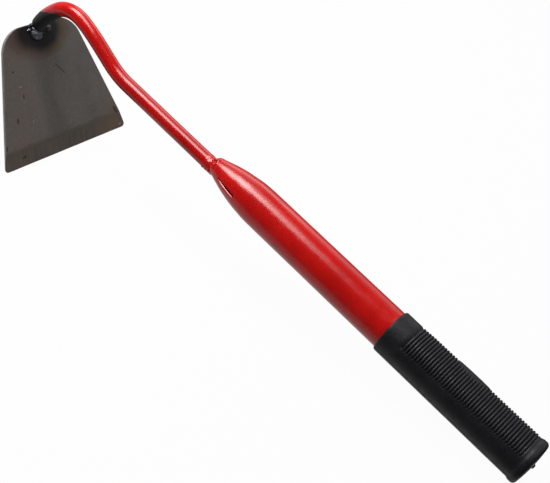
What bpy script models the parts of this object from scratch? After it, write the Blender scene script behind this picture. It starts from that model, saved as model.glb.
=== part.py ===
# Hand hoe: a steel blade welded to a bent neck rod, which is welded to the pressed nose of a tube
# handle with a ribbed grip sleeve. Metres and degrees; the hoe rests on z = 0 on its cutting edge
# and the flange of its grip, with the grip towards +X and the blade's width along Y.
#
# Everything is laid out in the handle's frame, in which the handle's axis is the X axis, x = 0 is
# the tip of the tube's nose and -Z is the side that the blade hangs on. An empty turns that frame
# into the resting pose at the end.
import math

import bmesh
import bpy
from mathutils import Matrix, Vector

CLEARANCE = 0.0003        # gap kept between pieces that touch on the real tool

# Handle tube, with its end slit and pressed to a nose
TUBE_DIAMETER = 0.0267
TUBE_WALL = 0.0020
NOSE_LENGTH = 0.0445
NOSE_TIP_DIAMETER = 0.0104
NOSE_TIP_WALL = 0.0016
NOSE_FULLNESS = 1.95      # exponent of the nose's curve: higher is blunter
SLIT_START = 0.0110       # from the nose's tip, where the two lips begin to part
SLIT_ROOT = 0.0280        # from the nose's tip, where the saw cut ended
SLIT_START_WIDTH = 0.0003
SLIT_ROOT_WIDTH = 0.0013
TUBE_TURN = -8.0          # turns the slits round the axis, from level

# Grip sleeve, closed at its end
GRIP_START = 0.1560       # from the nose's tip
GRIP_LENGTH = 0.1122
GRIP_DIAMETER = 0.0302
GRIP_END_WALL = 0.0028
GRIP_RIM_ROUNDING = 0.0005
COLLAR_LENGTH = 0.0143    # plain stretch before the first rib
FLANGE_DIAMETER = 0.0320
FLANGE_LENGTH = 0.0084
FLANGE_CORNER_RADIUS = 0.0026
FLANGE_FLARE = 0.0021     # length over which the sleeve widens into its flange
NUB_DIAMETER = 0.0020     # sprue mark in the middle of the closed end
NUB_HEIGHT = 0.0008
RIB_PITCH = 0.0021
RIB_RISE = 0.0004         # of the ribs' crests over the plain side
RIB_DEPTH = 0.0007
RIB_PANEL_TURN = 56.0     # middle of the ribbed side, from +Y towards +Z
RIB_PANEL_HALF_ANGLE_AT_COLLAR = 93.0
RIB_PANEL_HALF_ANGLE_AT_FLANGE = 80.0
RIB_FADE_ANGLE = 9.0      # over which the ribs run out into the plain side
PAD_LENGTH = 0.0260       # bare oval pad among the ribs
PAD_WIDTH = 0.0120
PAD_MIDDLE = 0.0525       # from the sleeve's rim
PAD_RISE = 0.0005

# Neck rod
ROD_DIAMETER = 0.0100
ROD_DROP = 0.0026         # its axis lies this far below the handle's, at the nose
NECK_STRAIGHT = 0.0850    # from the nose's tip to the first bend
LIFT_RADIUS = 0.0490
LIFT_ANGLE = 20.7
NECK_RISE_LENGTH = 0.0170
SWEEP_RADIUS = 0.1180
SWEEP_ANGLE = 8.4
HOOK_RADIUS = 0.0260
HOOK_ANGLE = 58.8
TAIL_RADIUS = 0.0660
TAIL_ANGLE = 22.8
TAIL_STRAIGHT = 0.0032

# Blade
BLADE_ANGLE = 50.0        # between the blade and the handle's axis
BLADE_THICKNESS = 0.0025
BLADE_HEIGHT = 0.0934
BLADE_TOP_WIDTH = 0.0607  # as if the top corners were sharp
BLADE_EDGE_WIDTH = 0.1153
BLADE_TOP_RADIUS = 0.0207
BLADE_EDGE_RADIUS = 0.0025
BLADE_TOP_OVER_ROD = 0.0020   # the top edge's height over the middle of the rod's end
GROUND_WIDTH = 0.0130     # band ground on the face towards the handle
EDGE_THICKNESS = 0.0006

# Welds
NECK_WELD_LENGTH = 0.0042
NECK_WELD_CROWN = 0.0004
BLADE_WELD_LEG = 0.0034
BLADE_WELD_HEIGHT = 0.0032
BLADE_WELD_FULLNESS = 0.65    # share of leg and height that the bead keeps half way round its face

# Facets
TUBE_STEPS = 40
GRIP_STEPS = 40
BLADE_WELD_STEPS = 32
NECK_WELD_STEPS = 24
NECK_WELD_ROWS = 6
NOSE_ROWS = 12
SLIT_START_STEPS = 4
SLIT_ROOT_STEPS = 8
FLANGE_CORNER_STEPS = 5
BLADE_CORNER_STEPS = 10
ROD_BEVEL_RESOLUTION = 6
BEND_STEP_ANGLE = 4.5
MERGE_DISTANCE = 0.00001


def clear_scene():
    for old in list(bpy.data.objects):
        bpy.data.objects.remove(old, do_unlink=True)


def new_collection(name):
    collection = bpy.data.collections.new(name)
    bpy.context.scene.collection.children.link(collection)
    return collection


def plain_material(name, colour, roughness, metallic):
    material = bpy.data.materials.new(name)
    material.use_nodes = True
    shader = material.node_tree.nodes["Principled BSDF"]
    shader.inputs["Base Color"].default_value = (*colour, 1.0)
    shader.inputs["Roughness"].default_value = roughness
    shader.inputs["Metallic"].default_value = metallic
    return material


def add_object(name, data, collection, material=None):
    """Link a mesh or curve as an object, with its one material."""
    item = bpy.data.objects.new(name, data)
    collection.objects.link(item)
    if material:
        data.materials.append(material)
    return item


def as_mesh(item):
    """Swap a curve, or an object with modifiers, for a plain mesh of the same shape and name."""
    bpy.context.view_layer.update()
    evaluated = item.evaluated_get(bpy.context.evaluated_depsgraph_get())
    mesh = bpy.data.meshes.new_from_object(evaluated)
    name, collection, place = item.name, item.users_collection[0], item.matrix_world.copy()
    bpy.data.objects.remove(item, do_unlink=True)
    work = bmesh.new()
    work.from_mesh(mesh)
    bmesh.ops.remove_doubles(work, verts=work.verts, dist=MERGE_DISTANCE)
    work.to_mesh(mesh)
    work.free()
    plain = bpy.data.objects.new(name, mesh)
    collection.objects.link(plain)
    plain.matrix_world = place
    return plain


def turned(name, profile, closed, steps, collection, material=None):
    """A profile of (radius, height) points turned about the object's Z axis."""
    points = [(radius, 0.0, height) for radius, height in profile]
    links = [(i, i + 1) for i in range(len(points) - 1)]
    if closed:
        links.append((len(points) - 1, 0))
    mesh = bpy.data.meshes.new(name)
    mesh.from_pydata(points, links, [])
    item = add_object(name, mesh, collection, material)
    screw = item.modifiers.new("Turn", "SCREW")
    screw.steps = steps
    screw.render_steps = steps
    screw.use_merge_vertices = True
    screw.merge_threshold = MERGE_DISTANCE
    return item


def flat_plate(name, outline, half_depth, collection, material=None):
    """An outline in the XY plane, extruded both ways along Z."""
    curve = bpy.data.curves.new(name, "CURVE")
    curve.dimensions = "2D"
    curve.fill_mode = "BOTH"
    curve.extrude = half_depth
    spline = curve.splines.new("POLY")
    spline.points.add(len(outline) - 1)
    for point, (x, y) in zip(spline.points, outline):
        point.co = (x, y, 0.0, 1.0)
    spline.use_cyclic_u = True
    return as_mesh(add_object(name, curve, collection, material))


def box_cutter(name, low, high, place, collection):
    """A box between two corners given in the frame of the matrix place."""
    bpy.ops.mesh.primitive_cube_add(size=1.0)
    box = bpy.context.active_object
    box.name = name
    for owner in list(box.users_collection):
        owner.objects.unlink(box)
    collection.objects.link(box)
    low, high = Vector(low), Vector(high)
    size = high - low
    box.data.transform(Matrix.Translation((low + high) / 2) @ Matrix.Diagonal((*size, 1.0)))
    box.matrix_world = place
    mark_as_cutter(box)
    return box


def mark_as_cutter(item):
    item.hide_render = True
    item.display_type = "WIRE"


def cut(item, cutter):
    trim = item.modifiers.new("Cut with " + cutter.name, "BOOLEAN")
    trim.operation = "DIFFERENCE"
    trim.solver = "EXACT"
    trim.object = cutter


def shade(item, sharp_angle):
    """Smooth shading, with edges sharper than the angle kept crisp."""
    item.data.shade_smooth()
    item.data.set_sharp_from_angle(angle=math.radians(sharp_angle))


def arc(centre, radius, start, end, count):
    """Points of an arc, its angles in degrees from the first axis."""
    points = []
    for i in range(count + 1):
        angle = math.radians(start + (end - start) * i / count)
        points.append((centre[0] + radius * math.cos(angle), centre[1] + radius * math.sin(angle)))
    return points


def rounded_corner(before, corner, after, radius, count):
    """An arc of the given radius that replaces the corner of an outline."""
    to_before = (Vector(before) - Vector(corner)).normalized()
    to_after = (Vector(after) - Vector(corner)).normalized()
    half_angle = to_before.angle(to_after) / 2
    centre = Vector(corner) + (to_before + to_after).normalized() * radius / math.sin(half_angle)
    start = Vector(corner) + to_before * radius / math.tan(half_angle) - centre
    turn = to_before.angle_signed(to_after)
    sweep = math.copysign(math.pi - abs(turn), turn)
    points = []
    for i in range(count + 1):
        spoke = start.copy()
        spoke.rotate(Matrix.Rotation(sweep * i / count, 2))
        points.append(tuple(centre + spoke))
    return points


def nose_radius(full, tip, x):
    """Radius of the pressed nose at x from its tip, from its full and tip radii."""
    remaining = max(0.0, 1.0 - x / NOSE_LENGTH)
    return full - (full - tip) * remaining ** NOSE_FULLNESS


def along_handle(turn):
    """Place of a turned piece: its Z axis along the handle, turned round it from level."""
    return Matrix.Rotation(math.radians(turn), 4, "X") @ Matrix.Rotation(math.radians(90), 4, "Y")


def neck_path():
    """Points and headings (degrees, in the XZ plane) of the rod's axis, from the weld at the nose."""
    x = -(NECK_WELD_LENGTH + 2 * CLEARANCE)
    z = -ROD_DROP
    heading = 180.0
    runs = [
        (NECK_STRAIGHT + x, 0.0),
        (math.radians(LIFT_ANGLE) * LIFT_RADIUS, -LIFT_ANGLE),
        (NECK_RISE_LENGTH, 0.0),
        (math.radians(SWEEP_ANGLE) * SWEEP_RADIUS, SWEEP_ANGLE),
        (math.radians(HOOK_ANGLE) * HOOK_RADIUS, HOOK_ANGLE),
        (math.radians(TAIL_ANGLE) * TAIL_RADIUS, TAIL_ANGLE),
        (TAIL_STRAIGHT, 0.0),
    ]
    path = [(x, z, heading)]
    for length, turn in runs:
        count = max(1, math.ceil(abs(turn) / BEND_STEP_ANGLE))
        chord = length / count
        if turn:
            half_turn = math.radians(turn) / count / 2
            chord *= math.sin(abs(half_turn)) / abs(half_turn)
        for _ in range(count):
            middle = math.radians(heading + turn / count / 2)
            x += chord * math.cos(middle)
            z += chord * math.sin(middle)
            heading += turn / count
            path.append((x, z, heading))
    return path


def blade_place(path):
    """Blade frame: origin where the rod's axis meets the face, Y up the blade, Z out of the face."""
    x, z, _ = path[-1]
    lean = math.radians(BLADE_ANGLE)
    across = Vector((0.0, 1.0, 0.0))
    up = Vector((-math.cos(lean), 0.0, math.sin(lean)))
    outward = across.cross(up)
    place = Matrix((across, up, outward)).transposed().to_4x4()
    place.translation = Vector((x, 0.0, z))
    return place


def make_handle_tube(parts, cutters, material):
    outer, inner = TUBE_DIAMETER / 2, TUBE_DIAMETER / 2 - TUBE_WALL
    tip_outer = NOSE_TIP_DIAMETER / 2
    tip_inner = tip_outer - NOSE_TIP_WALL
    end = GRIP_START + GRIP_LENGTH - GRIP_END_WALL - CLEARANCE
    stations = [NOSE_LENGTH * i / NOSE_ROWS for i in range(NOSE_ROWS + 1)]
    profile = [(outer, end)]
    profile += [(nose_radius(outer, tip_outer, x), x) for x in reversed(stations)]
    profile += [(nose_radius(inner, tip_inner, x), x) for x in stations]
    profile.append((inner, end))
    tube = turned("handle_tube", profile, True, TUBE_STEPS, parts, material)
    tube.matrix_world = along_handle(TUBE_TURN)
    narrow, wide = SLIT_START_WIDTH / 2, SLIT_ROOT_WIDTH / 2
    outline = arc((0.0, SLIT_START + narrow), narrow, 180, 360, SLIT_START_STEPS)
    outline += arc((0.0, SLIT_ROOT - wide), wide, 0, 180, SLIT_ROOT_STEPS)
    slits = flat_plate("nose_slits", outline, TUBE_DIAMETER, cutters)
    slits.matrix_world = along_handle(TUBE_TURN) @ Matrix.Rotation(math.radians(90), 4, "X")
    mark_as_cutter(slits)
    tube = as_mesh(tube)
    cut(tube, slits)
    shade(tube, 40)
    return tube


def rib_rows():
    """Heights of the rib crests and valleys, from the sleeve's rim, with 0 or 1 for a valley."""
    count = round((GRIP_LENGTH - FLANGE_LENGTH - COLLAR_LENGTH) / RIB_PITCH)
    step = (GRIP_LENGTH - FLANGE_LENGTH - COLLAR_LENGTH) / (2 * count)
    return [(COLLAR_LENGTH + step * i, i % 2) for i in range(2 * count + 1)]


def smooth_step(value):
    value = min(1.0, max(0.0, value))
    return value * value * (3 - 2 * value)


def ribbed_share(height, angle_off_middle):
    """How much of the ribs' depth is there: 1 on the ribbed side, 0 on the plain side and the pad."""
    along = (height - COLLAR_LENGTH) / (GRIP_LENGTH - FLANGE_LENGTH - COLLAR_LENGTH)
    half_angle = RIB_PANEL_HALF_ANGLE_AT_COLLAR
    half_angle += (RIB_PANEL_HALF_ANGLE_AT_FLANGE - RIB_PANEL_HALF_ANGLE_AT_COLLAR) * along
    share = smooth_step((half_angle - abs(angle_off_middle)) / RIB_FADE_ANGLE)
    return 0.0 if pad_share(height, angle_off_middle) else share


def pad_share(height, angle_off_middle):
    """1 inside the oval pad, 0 outside it."""
    across = math.radians(angle_off_middle) * GRIP_DIAMETER / PAD_WIDTH
    along = (height - PAD_MIDDLE) * 2 / PAD_LENGTH
    return 1.0 if across * across + along * along < 1 else 0.0


def make_grip(parts, material):
    radius, flange = GRIP_DIAMETER / 2, FLANGE_DIAMETER / 2
    bore = TUBE_DIAMETER / 2 + CLEARANCE
    rows = rib_rows()
    corner = FLANGE_CORNER_RADIUS
    profile = [(0.0, GRIP_LENGTH + NUB_HEIGHT), (NUB_DIAMETER / 2, GRIP_LENGTH + NUB_HEIGHT / 2)]
    profile.append((NUB_DIAMETER / 2, GRIP_LENGTH))
    profile += arc((flange - corner, GRIP_LENGTH - corner), corner, 90, 0, FLANGE_CORNER_STEPS)
    profile.append((flange, GRIP_LENGTH - FLANGE_LENGTH + FLANGE_FLARE))
    profile += [(radius, height) for height, _ in reversed(rows)]
    profile += [(radius, GRIP_RIM_ROUNDING), (radius - GRIP_RIM_ROUNDING, 0.0), (bore, 0.0)]
    profile += [(bore, GRIP_LENGTH - GRIP_END_WALL), (0.0, GRIP_LENGTH - GRIP_END_WALL)]
    grip = as_mesh(turned("grip", profile, False, GRIP_STEPS, parts, material))
    for vertex in grip.data.vertices:
        press_ribs(vertex, rows)
    grip.matrix_world = Matrix.Translation((GRIP_START, 0.0, 0.0)) @ along_handle(0.0)
    shade(grip, 35)
    return grip


def press_ribs(vertex, rows):
    """Move one point of the turned sleeve to a rib's crest or valley, or out to the pad."""
    reach = math.hypot(vertex.co.x, vertex.co.y)
    if abs(reach - GRIP_DIAMETER / 2) > MERGE_DISTANCE:
        return
    angle = math.degrees(math.atan2(-vertex.co.x, vertex.co.y))
    off_middle = (angle - RIB_PANEL_TURN + 180) % 360 - 180
    for height, valley in rows:
        if abs(vertex.co.z - height) < MERGE_DISTANCE:
            rib = (RIB_RISE - RIB_DEPTH * valley) * ribbed_share(height, off_middle)
            pad = PAD_RISE * pad_share(height, off_middle)
            vertex.co.x *= (reach + rib + pad) / reach
            vertex.co.y *= (reach + rib + pad) / reach


def make_neck_rod(path, place, parts, cutters, material):
    curve = bpy.data.curves.new("neck_rod", "CURVE")
    curve.dimensions = "3D"
    curve.bevel_depth = ROD_DIAMETER / 2
    curve.bevel_resolution = ROD_BEVEL_RESOLUTION
    curve.use_fill_caps = True
    points = [Vector((x, 0.0, z)) for x, z, _ in path]
    last_step = (points[-1] - points[-2]).normalized()
    points[-1] += last_step * ROD_DIAMETER
    spline = curve.splines.new("POLY")
    spline.points.add(len(points) - 1)
    for target, point in zip(spline.points, points):
        target.co = (*point, 1.0)
    rod = as_mesh(add_object("neck_rod", curve, parts, material))
    reach = 2 * ROD_DIAMETER
    face = box_cutter("rod_end_trim", (-reach, -reach, CLEARANCE - reach), (reach, reach, CLEARANCE),
                      place, cutters)
    cut(rod, face)
    shade(rod, 40)
    return rod


def make_blade(place, parts, cutters, material):
    top, bottom = BLADE_TOP_OVER_ROD, BLADE_TOP_OVER_ROD - BLADE_HEIGHT
    corners = [(-BLADE_TOP_WIDTH / 2, top), (-BLADE_EDGE_WIDTH / 2, bottom),
               (BLADE_EDGE_WIDTH / 2, bottom), (BLADE_TOP_WIDTH / 2, top)]
    radii = [BLADE_TOP_RADIUS, BLADE_EDGE_RADIUS, BLADE_EDGE_RADIUS, BLADE_TOP_RADIUS]
    outline = []
    for i, corner in enumerate(corners):
        after = corners[(i + 1) % len(corners)]
        outline += rounded_corner(corners[i - 1], corner, after, radii[i], BLADE_CORNER_STEPS)
    blade = flat_plate("blade", outline, BLADE_THICKNESS / 2, parts, material)
    blade.data.transform(Matrix.Translation((0.0, 0.0, -BLADE_THICKNESS / 2)))
    blade.matrix_world = place
    slope = math.atan2(BLADE_THICKNESS - EDGE_THICKNESS, GROUND_WIDTH)
    grind_place = place @ Matrix.Translation((0.0, bottom + GROUND_WIDTH, 0.0))
    grind_place = grind_place @ Matrix.Rotation(slope, 4, "X")
    grinding = box_cutter("edge_grinding", (-BLADE_EDGE_WIDTH, -2 * GROUND_WIDTH, 0.0),
                          (BLADE_EDGE_WIDTH, 0.0, 2 * GROUND_WIDTH), grind_place, cutters)
    cut(blade, grinding)
    shade(blade, 30)
    return blade


def make_blade_weld(path, place, parts, cutters, material):
    """A fillet bead round the rod's end, up to the blade's top edge."""
    inner = ROD_DIAMETER / 2 + CLEARANCE
    foot = CLEARANCE
    middle = (inner + BLADE_WELD_LEG * BLADE_WELD_FULLNESS,
              foot + BLADE_WELD_HEIGHT * BLADE_WELD_FULLNESS)
    profile = [(inner, foot + BLADE_WELD_HEIGHT), middle, (inner + BLADE_WELD_LEG, foot), (inner, foot)]
    bead = as_mesh(turned("blade_weld", profile, True, BLADE_WELD_STEPS, parts, material))
    _, _, heading = path[-1]
    rod_direction = Vector((math.cos(math.radians(heading)), 0.0, math.sin(math.radians(heading))))
    local = place.to_3x3().transposed() @ rod_direction
    lean = Matrix.Identity(4)
    lean[1][1] = 1 / abs(local.z)
    lean[1][2] = local.y / local.z
    bead.data.transform(lean)
    bead.matrix_world = place
    reach = 4 * ROD_DIAMETER
    trim = box_cutter("weld_top_trim", (-reach, BLADE_TOP_OVER_ROD, -reach), (reach, reach, reach),
                      place, cutters)
    cut(bead, trim)
    shade(bead, 50)
    return bead


def make_neck_weld(parts, material):
    """The lump of weld metal between the rod's end and the nose's tip, which don't quite line up."""
    rod, tip = ROD_DIAMETER / 2, NOSE_TIP_DIAMETER / 2
    high, low = -CLEARANCE, -(CLEARANCE + NECK_WELD_LENGTH)
    profile = [(0.0, high)]
    for i in range(NECK_WELD_ROWS + 1):
        share = i / NECK_WELD_ROWS
        crown = NECK_WELD_CROWN * math.sin(math.pi * share)
        profile.append((tip + (rod - tip) * share + crown, high + (low - high) * share))
    profile.append((0.0, low))
    lump = as_mesh(turned("neck_weld", profile, False, NECK_WELD_STEPS, parts, material))
    offset = Matrix.Identity(4)
    offset[0][2] = -ROD_DROP / (high - low)
    offset[0][3] = ROD_DROP * high / (high - low)
    lump.data.transform(offset)
    lump.matrix_world = along_handle(0.0)
    shade(lump, 50)
    return lump


def rest_tilt(place):
    """Angle of the floor in the handle's frame: from the cutting edge to under the grip's flange."""
    edge = place @ Vector((0.0, BLADE_TOP_OVER_ROD - BLADE_HEIGHT, -BLADE_THICKNESS))
    corner_x = GRIP_START + GRIP_LENGTH - FLANGE_CORNER_RADIUS
    corner_z = -(FLANGE_DIAMETER / 2 - FLANGE_CORNER_RADIUS)
    dx, dz = corner_x - edge.x, corner_z - edge.z
    return math.atan2(dz, dx) - math.asin(FLANGE_CORNER_RADIUS / math.hypot(dx, dz))


def stand_on_floor(pieces, tilt):
    """Parent the pieces to a frame that rests them on z = 0, centred on the origin."""
    frame = bpy.data.objects.new("handle_frame", None)
    bpy.context.scene.collection.objects.link(frame)
    for piece in pieces:
        piece.parent = frame
    frame.rotation_euler = (0.0, tilt, 0.0)
    bpy.context.view_layer.update()
    graph = bpy.context.evaluated_depsgraph_get()
    corners = []
    for piece in pieces:
        if piece.hide_render:
            continue
        shape = piece.evaluated_get(graph).to_mesh()
        corners += [piece.matrix_world @ vertex.co for vertex in shape.vertices]
    low = [min(point[axis] for point in corners) for axis in range(3)]
    high = [max(point[axis] for point in corners) for axis in range(3)]
    frame.location = (-(low[0] + high[0]) / 2, -(low[1] + high[1]) / 2, -low[2])


def main():
    clear_scene()
    parts = new_collection("hand_hoe")
    cutters = new_collection("cutters")
    red_paint = plain_material("red_paint", (0.50, 0.010, 0.010), 0.25, 0.0)
    rod_paint = plain_material("rod_paint", (0.50, 0.010, 0.010), 0.25, 0.0)
    weld_paint = plain_material("weld_paint", (0.42, 0.010, 0.010), 0.35, 0.0)
    bare_steel = plain_material("scaled_steel", (0.075, 0.068, 0.062), 0.55, 0.8)
    weld_metal = plain_material("weld_metal", (0.10, 0.10, 0.12), 0.50, 0.9)
    black_pvc = plain_material("black_pvc", (0.012, 0.012, 0.013), 0.55, 0.0)
    path = neck_path()
    place = blade_place(path)
    pieces = [
        make_handle_tube(parts, cutters, red_paint),
        make_grip(parts, black_pvc),
        make_neck_rod(path, place, parts, cutters, rod_paint),
        make_blade(place, parts, cutters, bare_steel),
        make_blade_weld(path, place, parts, cutters, weld_metal),
        make_neck_weld(parts, weld_paint),
    ]
    stand_on_floor(pieces + list(cutters.objects), rest_tilt(place))


main()
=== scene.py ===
import math

import bmesh
import bpy
from mathutils import Matrix, Vector, noise


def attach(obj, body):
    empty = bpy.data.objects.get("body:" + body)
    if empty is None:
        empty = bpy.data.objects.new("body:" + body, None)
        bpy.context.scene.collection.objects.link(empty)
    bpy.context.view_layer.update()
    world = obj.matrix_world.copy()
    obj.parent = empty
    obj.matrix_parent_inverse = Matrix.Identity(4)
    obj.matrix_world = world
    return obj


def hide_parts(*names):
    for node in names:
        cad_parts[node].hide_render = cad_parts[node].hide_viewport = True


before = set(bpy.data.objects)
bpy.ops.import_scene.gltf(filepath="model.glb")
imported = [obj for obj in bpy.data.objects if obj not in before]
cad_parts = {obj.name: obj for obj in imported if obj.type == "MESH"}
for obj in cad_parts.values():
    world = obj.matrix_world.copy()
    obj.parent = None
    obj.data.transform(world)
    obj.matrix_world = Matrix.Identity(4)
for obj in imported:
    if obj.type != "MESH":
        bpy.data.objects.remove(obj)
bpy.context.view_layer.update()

# The handle's frame: its axis is the X axis, x = 0 is the tip of the tube's nose, +X is the grip
# and -Z is the blade's side. The hoe leans by this much as it rests on the floor.
HANDLE_TILT = math.radians(11.3239)
HANDLE_ORIGIN = Vector((-0.043772, 0.0, 0.067894))
HANDLE = Matrix.Translation(HANDLE_ORIGIN) @ Matrix.Rotation(HANDLE_TILT, 4, "Y")

# Camera, fitted to the photograph
CAMERA_PLACE = (0.26845, -0.43533, 0.43533)
CAMERA_TURN = (51.0343, -12.0774, 39.7841)
CAMERA_LENS = 65.4545
SENSOR_WIDTH = 36.0

# Floor and backdrop: the floor's colour, how bright the camera sees each, and the floor's mesh
FLOOR_COLOUR = 0.40
FLOOR_SEEN = 0.965
BACKDROP_SEEN = 0.98
FLOOR_HALF_SIZE = 6.0
FLOOR_CELLS = 12
# What the world adds to the lamps
WORLD_LIGHT = 0.09

# The handle's height over the floor under its middle, how much it falls per metre of X, and its least
HANDLE_HEIGHT = 0.0592
HANDLE_FALL = 0.20
LEAST_HEIGHT = 0.01

# Soft lights along the handle: name, angle round it, distance, start, end, width and radiance
SOFTBOXES = (
    ("softbox_top", 103.0, 1.0, -1.30, -0.225, 0.40, 5.4),
    ("softbox_top_wide", 93.0, 1.0, -1.30, -0.225, 0.80, 2.5),
    ("softbox_top_nose", 102.0, 0.99, -1.40, -0.58, 0.78, 6.8),
    ("softbox_top_fade", 98.0, 1.0, -0.80, -0.15, 0.44, 2.4),
    ("softbox_top_end", 96.0, 1.0, -0.80, -0.135, 0.46, 1.5),
    ("softbox_far", 28.0, 1.2, -1.30, -0.24, 0.36, 1.3),
    ("softbox_far_mid", 27.0, 1.2, -1.30, -0.13, 0.36, 0.5),
    ("softbox_far_wide", 33.0, 1.2, -1.30, 0.10, 0.95, 0.35),
    ("softbox_far_end", 24.0, 1.2, -1.00, 0.45, 0.60, 0.42),
    ("softbox_far_high", 50.0, 1.2, -1.30, -0.45, 0.55, 0.8),
    ("softbox_grip", 74.0, 1.0, 0.11, 0.60, 0.90, 1.5),
)

# Handle tube
TUBE_RADIUS = 0.01362
TUBE_RADIUS_IN_GRIP = 0.01340
NOSE_LENGTH = 0.0445
NOSE_TIP_RADIUS = 0.0052
NOSE_FULLNESS = 1.95
NOSE_DENT = 0.00016
NOSE_TIP_ROUNDING = 0.0006
NOSE_TIP_ROUND_LENGTH = 0.0030
TUBE_VISIBLE_END = 0.1640
SLIT_START = 0.0106
SLIT_ROOT = 0.0281
SLIT_ROOT_WIDTH = 0.0019
SLIT_DEPTH = 0.0045
SLIT_ANGLES = (-8.0, 172.0)
SLIT_LIP_WIDTH = 0.0005
SLIT_LIP_SLOPE = 1.5

# Grip sleeve
GRIP_START = 0.1561
GRIP_LENGTH = 0.1121
GRIP_RADIUS = 0.0151
GRIP_BORE_RADIUS = 0.01365
GRIP_END_WALL = 0.0028
RIM_ROUNDING = 0.0013
COLLAR_LENGTH = 0.0143
RIB_PITCH = 0.0021
RIB_RISE = 0.0004
RIB_DEPTH = 0.0008
RIB_RAMP_LENGTH = 0.0100
RIB_VALLEY_SHARE = 0.27
RIB_PANEL_TURN = 56.0
RIB_PANEL_HALF_ANGLES = (97.0, 85.0)
RIB_FADE_ANGLE = 7.0
PAD_LENGTH = 0.0250
PAD_WIDTH = 0.0120
PAD_MIDDLE = 0.0547
PAD_RISE = 0.0006
RIBS_END = 0.0083
FLANGE_RADIUS = 0.0158
FLANGE_LENGTH = 0.0066
FLANGE_FLARE = 0.0026
FLANGE_CORNER_RADIUS = 0.0026
END_DOME = 0.0009
NUB_RADIUS = 0.0016
NUB_HEIGHT = 0.0011
SEAM_ANGLES = (203.0, 23.0)
SEAM_HALF_ANGLE = 2.0
SEAM_DEPTH = 0.00035

# Neck rod: lengths and angles of its runs, from the weld at the nose to the blade
ROD_RADIUS = 0.0052
ROD_DROP = 0.0026
ROD_START = -0.0040
ROD_RUNS = (
    (0.0850 + ROD_START, 0.0),
    (math.radians(20.7) * 0.0490, -20.7),
    (0.0170, 0.0),
    (math.radians(8.4) * 0.1180, 8.4),
    (math.radians(58.8) * 0.0260, 58.8),
    (math.radians(22.8) * 0.0660, 22.8),
    (0.0032, 0.0),
)
ROD_STEP = 0.0012
ROD_SIDES = 48

# Blade
BLADE_LEAN = math.radians(50.0)
BLADE_THICKNESS = 0.0025
BLADE_HEIGHT = 0.0934
BLADE_TOP_WIDTH = 0.0607
BLADE_EDGE_WIDTH = 0.1153
BLADE_TOP_RADIUS = 0.0207
BLADE_EDGE_RADIUS = 0.0025
BLADE_TOP_OVER_ROD = 0.0020
GROUND_WIDTH = 0.0130
EDGE_THICKNESS = 0.0006
BLADE_EDGE_ROUNDING = 0.00018

# Where the neck's enamel is burnt off: a point on the edge of the scorch and the side that is burnt
SCORCH_PLACE = (-0.20095, -0.00455, 0.10087)
SCORCH_NORMAL = (0.2846, -0.4287, -0.8575)

# Painted light and shade: the red's strength on the rod and on the neck's weld, where the tube's is 1,
# making lighter and darker copies of the same enamel
ROD_PAINTED_TONE = 1.03
NECK_WELD_PAINTED_TONE = 0.90

# Neck weld: where it starts and ends along the handle, and the fineness of its mesh
NECK_WELD_START = -0.0074
NECK_WELD_LENGTH = 0.0150
NECK_WELD_END = 0.0076
NECK_WELD_SIDES = 168
NECK_WELD_RINGS = 74
# Its lumps: place along the handle, angle round it, height and size
NECK_WELD_LUMPS = (
    (-0.0060, 120.0, 0.00022, 0.0009),
    (-0.0038, 97.0, 0.00045, 0.0014),
    (-0.0012, 104.0, 0.00040, 0.0010),
    (0.0012, 146.0, 0.00060, 0.0012),
    (0.0022, 106.0, 0.00045, 0.0009),
    (0.0042, 127.0, 0.00040, 0.0013),
    (-0.0052, 226.0, 0.00055, 0.0009),
    (-0.0022, 222.0, 0.00060, 0.0009),
    (0.0006, 216.0, 0.00055, 0.0011),
    (-0.0026, 172.0, 0.00035, 0.0012),
    (-0.0022, 60.0, 0.00030, 0.0012),
    (-0.0034, 330.0, 0.00035, 0.0015),
    (0.0010, 285.0, 0.00030, 0.0016),
)
# The seam between weld and nose: its angle at x = 0, its turn per metre and its size
CREVICE_ANGLE = 112.5
CREVICE_TURN = 47.0
CREVICE_DEPTH = 0.0013
CREVICE_HALF_WIDTH = 0.00036
WELD_OVER_NOSE = 0.00030

# Beads of the blade's weld on the blade's face: across, up and out of it, three half sizes, turn
BLADE_WELD_BEADS = (
    (-0.0039, -0.0055, 0.0008, 0.0050, 0.0035, 0.0026, -40.0),
    (0.0076, -0.0036, 0.0008, 0.0025, 0.0024, 0.0021, 0.0),
    (-0.0062, -0.0006, 0.0023, 0.0012, 0.0004, 0.0006, -48.0),
    (-0.0089, -0.0011, 0.0003, 0.0018, 0.0004, 0.0006, 3.0),
    (-0.0061, -0.0007, 0.0012, 0.0016, 0.0017, 0.0012, 0.0),
    (-0.0056, 0.0012, 0.0008, 0.0021, 0.0018, 0.0021, 0.0),
    (-0.0074, 0.0004, 0.0002, 0.0016, 0.0014, 0.0011, 0.0),
    (0.0024, -0.0070, 0.0002, 0.0028, 0.0014, 0.0013, 15.0),
)
# Bluish skin on its two largest beads, and painted highlights, near-white streaks of colour on two small
# lumps: across, up and out, half length, turn
BEAD_SKINS = (1.0, 0.40)
BLADE_WELD_PAINTED_HIGHLIGHTS = (
    (-0.0062, -0.0006, 0.0027, 0.0012, -48.0),
    (-0.0089, -0.0011, 0.0007, 0.0017, 3.0),
)
PAINTED_HIGHLIGHT_REACH = 0.0005
PAINTED_HIGHLIGHT_STEPS = (-0.7, -0.35, 0.0, 0.35, 0.7)

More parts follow.
